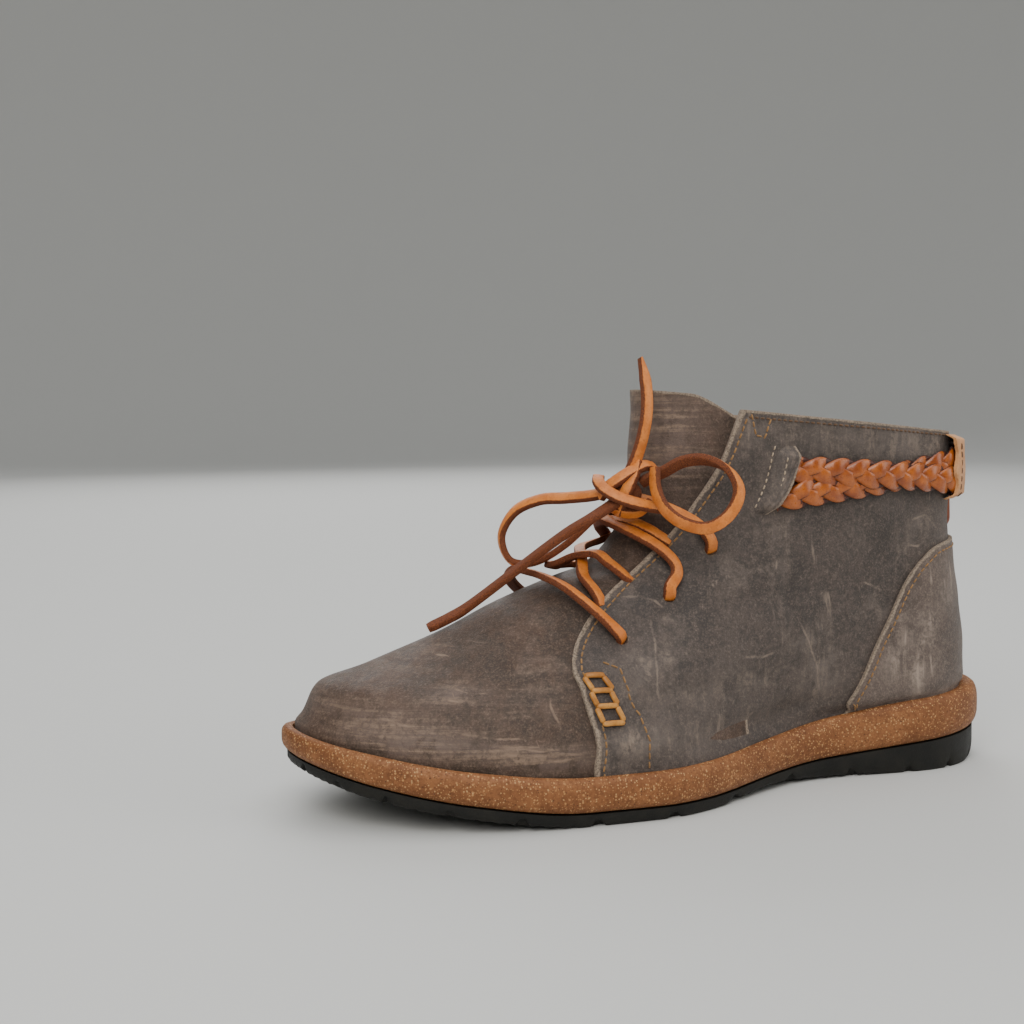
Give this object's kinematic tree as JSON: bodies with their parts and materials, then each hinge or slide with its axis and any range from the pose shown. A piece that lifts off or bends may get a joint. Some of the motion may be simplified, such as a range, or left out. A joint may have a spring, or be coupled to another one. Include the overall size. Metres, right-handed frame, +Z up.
{
  "type": "lace-up ankle boot",
  "caption": "Left lace-up ankle boot of waxed leather with a rounded cork-look midsole, thin rubber outsole, heel counter and plaited leather bands around the ankle.",
  "frame": {"origin": "on the floor under the middle of the boot's box, free lace cords left out", "axes": "+X to the toe, +Y to the wearer's left, which is the outer side of this left boot, +Z up"},
  "size_m": [0.2698, 0.102, 0.1541],
  "materials": {
    "outsole": "matte olive-black rubber",
    "midsole": "brown cork-look foam with pale specks",
    "insole": "plain tan lining leather",
    "upper": "waxed grey-brown nubuck, scuffed",
    "tongue": "waxed grey-brown nubuck",
    "heel_counter": "waxed brown nubuck, scuffed",
    "back_strap": "raw tan leather",
    "back_seam_strip": "dark red-brown leather",
    "braid_outer": "glossy saddle leather",
    "braid_inner": "glossy saddle leather",
    "side_ladder_outer": "golden leather thong",
    "side_ladder_inner": "golden leather thong",
    "lace_low_bar": "tan leather lace",
    "lace_under_cross": "tan leather lace",
    "lace_over_cross": "tan leather lace",
    "lace_top_bar": "tan leather lace",
    "lace_knot": "tan leather lace",
    "lace_loop_outer": "tan leather lace",
    "lace_loop_inner": "tan leather lace",
    "lace_end_up": "tan leather lace",
    "lace_end_front": "tan leather lace"
  },
  "bodies": {
    "root": {"outsole": "outsole", "midsole": "midsole", "insole": "insole", "upper": "upper", "tongue": "tongue", "heel_counter": "heel_counter", "back_strap": "back_strap", "back_seam_strip": "back_seam_strip", "braid_outer": "braid_outer", "braid_inner": "braid_inner", "side_ladder_outer": "side_ladder_outer", "side_ladder_inner": "side_ladder_inner", "lace_low_bar": "lace_low_bar", "lace_under_cross": "lace_under_cross", "lace_over_cross": "lace_over_cross", "lace_top_bar": "lace_top_bar", "lace_knot": "lace_knot", "lace_loop_outer": "lace_loop_outer", "lace_loop_inner": "lace_loop_inner", "lace_end_up": "lace_end_up", "lace_end_front": "lace_end_front"}
  },
  "joints": []
}
